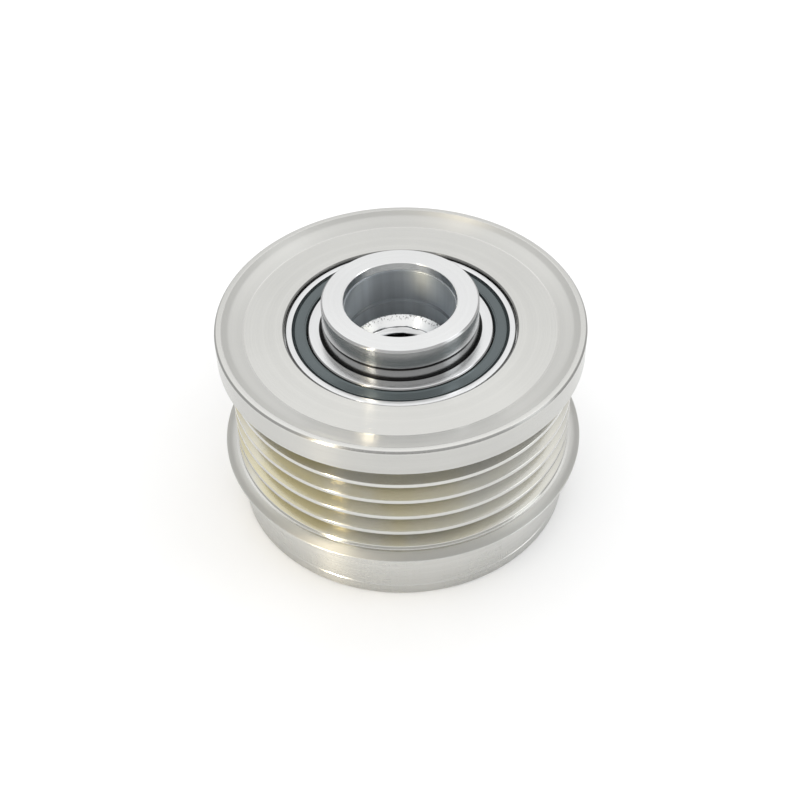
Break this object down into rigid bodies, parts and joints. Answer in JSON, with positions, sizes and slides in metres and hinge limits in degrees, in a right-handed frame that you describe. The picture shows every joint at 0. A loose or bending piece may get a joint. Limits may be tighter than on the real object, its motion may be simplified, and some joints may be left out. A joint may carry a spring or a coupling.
{
  "type": "overrunning alternator pulley",
  "caption": "Grooved belt pulley on two sealed ball bearings, with a roller clutch inside that drives the threaded hub one way and lets it run ahead.",
  "frame": {"origin": "on the axis, in the plane of the rim's front end, which the part stands on", "axes": "+Z along the axis, from the front end towards the hub's rear face, where the alternator is; +X through the middle of both retaining rings' gaps"},
  "size_m": [0.0598, 0.0598, 0.039],
  "materials": {
    "rim_steel": "satin turned",
    "hub_steel": "ground",
    "ring_steel": "ground, bright",
    "ball_steel": "polished",
    "seal_rubber": "matt",
    "cage_plastic": "natural glass-filled nylon",
    "clutch_plastic": "black nylon",
    "clutch_steel": "hardened, ground",
    "roller_steel": "ground",
    "spring_steel": "blued strip",
    "plate_steel": "pressed",
    "snap_steel": "phosphated"
  },
  "bodies": {
    "outer": {"pulley": "rim_steel", "rear_outer_ring": "ring_steel", "rear_outer_seal": "seal_rubber", "rear_inner_seal": "seal_rubber", "front_outer_ring": "ring_steel", "front_outer_seal": "seal_rubber", "front_inner_seal": "seal_rubber", "seal_inserts": "plate_steel", "clutch_cam_ring": "clutch_steel", "clutch_cage": "clutch_plastic", "clutch_springs": "spring_steel", "clutch_rear_plate": "plate_steel", "clutch_front_plate": "plate_steel", "pulley_snap_ring": "snap_steel"},
    "inner": {"hub": "hub_steel", "rear_inner_ring": "ring_steel", "front_inner_ring": "ring_steel", "clutch_inner_sleeve": "clutch_steel", "rear_spacer": "plate_steel", "front_spacer": "plate_steel", "hub_snap_ring": "snap_steel"},
    "rear_ball_set": {"rear_balls": "ball_steel", "rear_ball_cage": "cage_plastic"},
    "front_ball_set": {"front_balls": "ball_steel", "front_ball_cage": "cage_plastic"},
    "roller_set": {"clutch_rollers": "roller_steel"}
  },
  "joints": [
    {"name": "hub_spin", "type": "hinge", "parent": "outer", "child": "inner", "pos_m": [0, 0, 0.0189], "axis": [0, 0, 1], "continuous": true},
    {"name": "rear_balls_orbit", "type": "hinge", "parent": "outer", "child": "rear_ball_set", "pos_m": [0, 0, 0.0299], "axis": [0, 0, 1], "continuous": true},
    {"name": "front_balls_orbit", "type": "hinge", "parent": "outer", "child": "front_ball_set", "pos_m": [0, 0, 0.0079], "axis": [0, 0, 1], "continuous": true},
    {"name": "clutch_release", "type": "hinge", "parent": "outer", "child": "roller_set", "pos_m": [0, 0, 0.0189], "axis": [0, 0, 1], "range_deg": [0, 3], "stiffness_Nm_per_rad": 0.05, "springref_deg": -2.86, "deforming": ["clutch_springs"]}
  ],
  "couplings": [
    {"joint": "rear_balls_orbit", "follows": "hub_spin", "ratio": 0.44879},
    {"joint": "front_balls_orbit", "follows": "hub_spin", "ratio": 0.44879}
  ]
}
